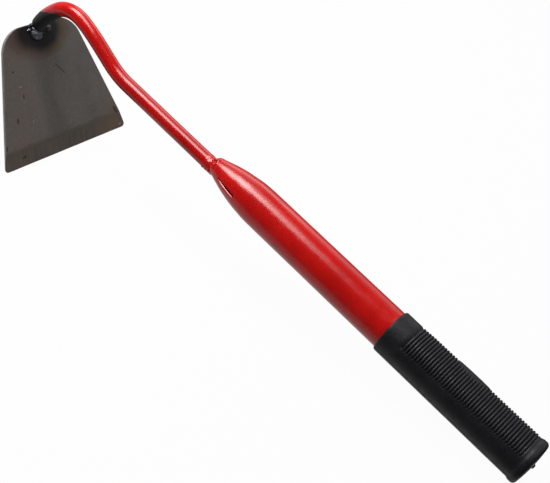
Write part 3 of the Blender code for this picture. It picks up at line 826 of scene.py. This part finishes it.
def make_blade(material):
    top, bottom = BLADE_TOP_OVER_ROD, BLADE_TOP_OVER_ROD - BLADE_HEIGHT
    round_edge = BLADE_EDGE_ROUNDING
    columns = 72
    rows = [top - BLADE_TOP_RADIUS * (1 - math.cos(math.radians(a))) for a in range(0, 76, 3)]
    straight_top = rows[-1]
    straight_end = bottom + GROUND_WIDTH
    rows += [straight_top + (straight_end - straight_top) * i / 30 for i in range(1, 31)]
    rows += [straight_end - 0.0003]
    low_end = bottom + 2 * BLADE_EDGE_RADIUS
    rows += [straight_end + (low_end - straight_end) * i / 10 for i in range(1, 11)]
    rows += [bottom + BLADE_EDGE_RADIUS * (1 - math.cos(math.radians(a))) for a in range(90, -1, -10)]

    def outline_point(row, column):
        height = rows[row]
        across = blade_half_width(height) * (2 * column / columns - 1)
        wander = 0.00012 * bump_at((across, height, 0.0), 0.0060, 1.7) if row == len(rows) - 1 else 0.0
        return Vector((across, height + wander, 0.0))

    def face_depth(point):
        ground = bottom + GROUND_WIDTH - point.y + 0.0005 * bump_at((point.x, 0.0, 0.0), 0.016, 4.0)
        slope = (BLADE_THICKNESS - EDGE_THICKNESS) / GROUND_WIDTH
        return max(0.0, ground) * slope

    loop = [(0, c) for c in range(columns)] + [(r, columns) for r in range(len(rows) - 1)]
    loop += [(len(rows) - 1, c) for c in range(columns, 0, -1)]
    loop += [(r, 0) for r in range(len(rows) - 1, 0, -1)]
    edge_points = [outline_point(r, c) for r, c in loop]
    inward = {}
    for i, key in enumerate(loop):
        along_edge = edge_points[(i + 1) % len(loop)] - edge_points[i - 1]
        inward[key] = Vector((along_edge.y, -along_edge.x, 0.0)).normalized()
    vertices, front, back = [], {}, {}
    for row in range(len(rows)):
        for column in range(columns + 1):
            point = outline_point(row, column)
            flat = point + inward.get((row, column), Vector()) * round_edge
            warp = 0.00006 * bump_at(flat, 0.030, 6.0)
            front[row, column] = len(vertices)
            vertices.append(Vector((flat.x, flat.y, warp - face_depth(flat))))
            back[row, column] = len(vertices)
            vertices.append(Vector((flat.x, flat.y, warp - BLADE_THICKNESS)))
    faces = []
    for row in range(len(rows) - 1):
        for column in range(columns):
            corners = [(row, column), (row + 1, column), (row + 1, column + 1), (row, column + 1)]
            faces.append([front[c] for c in corners])
            faces.append([back[c] for c in reversed(corners)])
    wall_front, wall_back = [], []
    for key, point in zip(loop, edge_points):
        wall_front.append(len(vertices))
        vertices.append(Vector((point.x, point.y, vertices[front[key]].z - round_edge)))
        wall_back.append(len(vertices))
        vertices.append(Vector((point.x, point.y, -BLADE_THICKNESS + round_edge)))
    for i, key in enumerate(loop):
        j = (i + 1) % len(loop)
        after = loop[j]
        faces.append((front[key], front[after], wall_front[j], wall_front[i]))
        faces.append((wall_front[i], wall_front[j], wall_back[j], wall_back[i]))
        faces.append((wall_back[i], wall_back[j], back[after], back[key]))
    return mesh_object("blade_plate", vertices, faces, material, 60)


def fused_lumps(name, lumps, voxel, material, roughness_size, roughness_height, smoothing):
    """Lumps of weld metal, each (centre, three half sizes, turn matrix), fused into one skin."""
    work = bmesh.new()
    for centre, sizes, turn in lumps:
        place = Matrix.Translation(centre) @ turn.to_4x4() @ Matrix.Diagonal((*sizes, 1.0))
        bmesh.ops.create_icosphere(work, subdivisions=3, radius=1.0, matrix=place)
    mesh = bpy.data.meshes.new(name)
    work.to_mesh(mesh)
    work.free()
    draft = bpy.data.objects.new(name + "_draft", mesh)
    bpy.context.scene.collection.objects.link(draft)
    remesh = draft.modifiers.new("Fuse", "REMESH")
    remesh.mode = "VOXEL"
    remesh.voxel_size = voxel
    relax = draft.modifiers.new("Relax", "SMOOTH")
    relax.iterations = smoothing
    bpy.context.view_layer.update()
    skin = bpy.data.meshes.new_from_object(draft.evaluated_get(bpy.context.evaluated_depsgraph_get()))
    bpy.data.objects.remove(draft, do_unlink=True)
    skin.name = name
    for vertex in skin.vertices:
        vertex.co += vertex.normal * roughness_height * bump_at(vertex.co, roughness_size, 9.3)
    skin.shade_smooth()
    skin.materials.clear()
    skin.materials.append(material)
    item = bpy.data.objects.new(name, skin)
    bpy.context.scene.collection.objects.link(item)
    return item


def make_blade_weld(material):
    """The bead round the rod's end, in the blade's frame."""
    plain = Matrix.Identity(3)
    lumps = []
    for angle in range(-208, 29, 10):
        turn = math.radians(angle)
        size = 0.0013 + 0.0004 * bump_at((angle * 0.01, 0.0, 0.0), 0.13, 2.2)
        spot = Vector(((ROD_RADIUS + 0.0002) * math.cos(turn), (ROD_RADIUS + 0.0007) * math.sin(turn),
                       0.0006))
        spot.y = min(spot.y, BLADE_TOP_OVER_ROD - 0.0008)
        lumps.append((spot, (size, size, size), plain))
    for across, up, out, length, width, height, turn in BLADE_WELD_BEADS:
        lumps.append((Vector((across, up, out)), (length, width, height),
                      Matrix.Rotation(math.radians(turn), 3, "Z")))
    return fused_lumps("weld_bead", lumps, 0.00026, material, 0.0015, 0.00012, 2)


def rod_reach(angle):
    """From the handle's axis to the rod's surface, at an angle round the axis; the rod lies lower."""
    return -ROD_DROP * math.sin(angle) + math.sqrt(ROD_RADIUS ** 2 - (ROD_DROP * math.cos(angle)) ** 2)


def neck_weld_radius(x, angle):
    """The weld's skin: it grows out of the rod, laps over the nose's tip and slips under it below."""
    below = 0.5 - 0.5 * math.sin(angle)
    share = smooth_step(-0.0026 + 0.0046 * below, 0.0010 + 0.0060 * below, x)
    on_rod = rod_reach(angle) - 0.0003 + 0.00045 * smooth_step(-0.0072, -0.0050, x)
    lapped = (1 - below) * (1 - smooth_step(0.0030, 0.0046, x))
    on_nose = nose_radius(max(x, 0.0)) + WELD_OVER_NOSE * (2.2 * lapped - 1.2)
    radius = (1 - share) * on_rod + share * on_nose
    radius += 0.00012 * smooth_step(-0.0070, -0.0055, x) * bump_at(round_x(x, radius, angle), 0.0019, 9.3)
    for lump_x, turn, height, size in NECK_WELD_LUMPS:
        off = (angle - math.radians(turn) + math.pi) % (2 * math.pi) - math.pi
        radius += height * math.exp(-((x - lump_x) ** 2 + (off * radius) ** 2) / size ** 2)
    return radius - crevice(x, angle, radius)


def make_neck_weld(material):
    """The lumpy weld between the rod and the nose's tip, in the handle's frame."""
    sides, rings = NECK_WELD_SIDES, NECK_WELD_RINGS
    vertices = []
    for i in range(rings):
        x = NECK_WELD_START + NECK_WELD_LENGTH * i / (rings - 1)
        vertices += [round_x(x, neck_weld_radius(x, 2 * math.pi * j / sides), 2 * math.pi * j / sides)
                     for j in range(sides)]
    faces = ring_faces(rings, sides)
    capped(vertices, faces, 0, sides, Vector((NECK_WELD_START, 0.0, -ROD_DROP)))
    capped(vertices, faces, (rings - 1) * sides, sides, Vector((NECK_WELD_END, 0.0, 0.0)))
    return mesh_object("neck_weld_bead", vertices, faces, material)


def strip_lamp(name, turn, distance, start, end, width, radiance):
    """A flat soft light that runs along the handle, at an angle round it and a distance from it."""
    lamp = bpy.data.lights.new(name, "AREA")
    lamp.shape = "RECTANGLE"
    lamp.size, lamp.size_y = end - start, width
    lamp.energy = radiance * math.pi * lamp.size * width
    item = bpy.data.objects.new(name, lamp)
    bpy.context.scene.collection.objects.link(item)
    outward = Vector((0.0, math.cos(math.radians(turn)), math.sin(math.radians(turn))))
    forward = Vector((1.0, 0.0, 0.0))
    place = Matrix((forward, outward.cross(forward), outward)).transposed().to_4x4()
    place.translation = forward * (start + end) / 2 + outward * distance
    item.matrix_world = HANDLE @ place


def sight_rays(tree):
    """Two sockets: 1 for camera rays, and 1 for glossy and transmission rays."""
    path = tree.nodes.new("ShaderNodeLightPath")
    mirrored = node_math(tree, "MAXIMUM", path.outputs["Is Glossy Ray"],
                         path.outputs["Is Transmission Ray"])
    return path.outputs["Is Camera Ray"], mirrored


def make_floor():
    """A wide pale floor, white to the camera, with the hoe's soft shadow on it."""
    half, cells = FLOOR_HALF_SIZE, FLOOR_CELLS
    row = cells + 1
    mesh = bpy.data.meshes.new("floor")
    points = [(-half + 2 * half * i / cells, -half + 2 * half * j / cells, 0.0)
              for i in range(row) for j in range(row)]
    quads = [(i * row + j, (i + 1) * row + j, (i + 1) * row + j + 1, i * row + j + 1)
             for i in range(cells) for j in range(cells)]
    mesh.from_pydata(points, [], quads)
    floor = bpy.data.objects.new("floor", mesh)
    bpy.context.scene.collection.objects.link(floor)
    material = bpy.data.materials.new("floor_white")
    material.use_nodes = True
    tree = material.node_tree
    main = tree.nodes["Principled BSDF"]
    main.inputs["Base Color"].default_value = (FLOOR_COLOUR, FLOOR_COLOUR, FLOOR_COLOUR, 1.0)
    main.inputs["Roughness"].default_value = 0.9
    glow = tree.nodes.new("ShaderNodeEmission")
    glow.inputs["Color"].default_value = (1.0, 1.0, 1.0, 1.0)
    # Gloss sees the floor pale under the hoe and beyond it, and dark in front and far behind
    camera, mirrored = sight_rays(tree)
    place = tree.nodes.new("ShaderNodeSeparateXYZ")
    tree.links.new(tree.nodes.new("ShaderNodeTexCoord").outputs["Object"], place.inputs[0])
    height = node_math(tree, "MULTIPLY_ADD", place.outputs["X"], -HANDLE_FALL, HANDLE_HEIGHT)
    height = node_math(tree, "MAXIMUM", height, LEAST_HEIGHT)
    offset = node_math(tree, "DIVIDE", place.outputs["Y"], height)
    pale = node_math(tree, "MULTIPLY", node_fade(tree, offset, -3.0, -0.5, 0.02, 0.70),
                     node_fade(tree, offset, 1.4, 3.5, 1.0, 0.08))
    tree.links.new(node_math(tree, "MULTIPLY_ADD", mirrored, pale, camera), glow.inputs["Strength"])
    blend = tree.nodes.new("ShaderNodeMixShader")
    tree.links.new(node_math(tree, "MULTIPLY_ADD", camera, FLOOR_SEEN, mirrored), blend.inputs[0])
    tree.links.new(main.outputs[0], blend.inputs[1])
    tree.links.new(glow.outputs[0], blend.inputs[2])
    tree.links.new(blend.outputs[0], tree.nodes["Material Output"].inputs["Surface"])
    mesh.materials.append(material)


def make_world():
    """White to the camera. Gloss sees it pale low down on the far and blade side, and dim elsewhere."""
    world = bpy.data.worlds.new("studio")
    bpy.context.scene.world = world
    world.use_nodes = True
    tree = world.node_tree
    sky = tree.nodes.new("ShaderNodeTexCoord").outputs["Generated"]

    def fade(direction, low, high, start, end):
        along = node_vector(tree, "DOT_PRODUCT", "Value", sky, direction)
        return node_fade(tree, along, low, high, start, end)

    camera, mirrored = sight_rays(tree)
    gloss = node_math(tree, "MULTIPLY_ADD", fade((-0.6, 1.0, 0.0), -0.15, 0.55, 0.0, 0.8),
                      fade((0.0, 0.0, 1.0), 0.20, 0.75, 0.46, 0.11), 0.04)
    seen = tree.nodes.new("ShaderNodeBackground")
    seen.inputs["Color"].default_value = (1.0, 1.0, 1.0, 1.0)
    strength = node_math(tree, "MULTIPLY_ADD", mirrored, gloss,
                         node_math(tree, "MULTIPLY", camera, BACKDROP_SEEN))
    tree.links.new(strength, seen.inputs["Strength"])
    light = tree.nodes["Background"]
    light.inputs["Color"].default_value = (1.0, 1.0, 1.0, 1.0)
    light.inputs["Strength"].default_value = WORLD_LIGHT
    blend = tree.nodes.new("ShaderNodeMixShader")
    tree.links.new(node_math(tree, "MAXIMUM", camera, mirrored), blend.inputs[0])
    tree.links.new(light.outputs[0], blend.inputs[1])
    tree.links.new(seen.outputs[0], blend.inputs[2])
    tree.links.new(blend.outputs[0], tree.nodes["World Output"].inputs["Surface"])


def make_camera():
    lens = bpy.data.cameras.new("camera")
    lens.lens = CAMERA_LENS
    lens.sensor_width = SENSOR_WIDTH
    lens.sensor_fit = "HORIZONTAL"
    camera = bpy.data.objects.new("camera", lens)
    bpy.context.scene.collection.objects.link(camera)
    camera.location = CAMERA_PLACE
    camera.rotation_euler = [math.radians(a) for a in CAMERA_TURN]
    bpy.context.scene.camera = camera


def main():
    make_camera()
    make_floor()
    make_world()
    bpy.context.scene.view_settings.view_transform = "Standard"
    for softbox in SOFTBOXES:
        strip_lamp(*softbox)

    path = rod_path()
    blade = blade_frame(path)
    world_blade = HANDLE @ blade
    weld_point = tuple(world_blade.translation)
    across, up = world_blade.to_3x3().col[0], world_blade.to_3x3().col[1]
    beads = [(tuple(world_blade @ Vector(bead[:3])), bead[3], share)
             for bead, share in zip(BLADE_WELD_BEADS, BEAD_SKINS)]
    # Points along the streaks of painted highlights
    painted_highlights = []
    for highlight_across, highlight_up, out, half_length, turn in BLADE_WELD_PAINTED_HIGHLIGHTS:
        heading = Vector((math.cos(math.radians(turn)), math.sin(math.radians(turn)), 0.0))
        for step in PAINTED_HIGHLIGHT_STEPS:
            point = Vector((highlight_across, highlight_up, out)) + heading * half_length * step
            painted_highlights.append((tuple(world_blade @ point), PAINTED_HIGHLIGHT_REACH, 1.0))
    bead_skin_and_highlights = weld_metal("weld_skin_painted_highlights", beads, painted_highlights)
    rod_red = enamel("enamel_rod_painted_shade", ROD_PAINTED_TONE, weld_point)
    steel = blade_steel("mill_scale", weld_point, across, up)

    place_piece(make_tube(enamel("enamel_tube_painted_slit_shade", slits=True)), HANDLE, "handle_tube")
    place_piece(make_grip(soft_pvc("pvc_black")), HANDLE, "grip")
    place_piece(make_rod(path, blade, rod_red), HANDLE, "neck_rod")
    place_piece(make_neck_weld(enamel("enamel_weld_painted_shade", NECK_WELD_PAINTED_TONE)), HANDLE, "neck_weld")
    place_piece(make_blade(steel), world_blade, "blade")
    place_piece(make_blade_weld(bead_skin_and_highlights), world_blade, "blade_weld")


main()
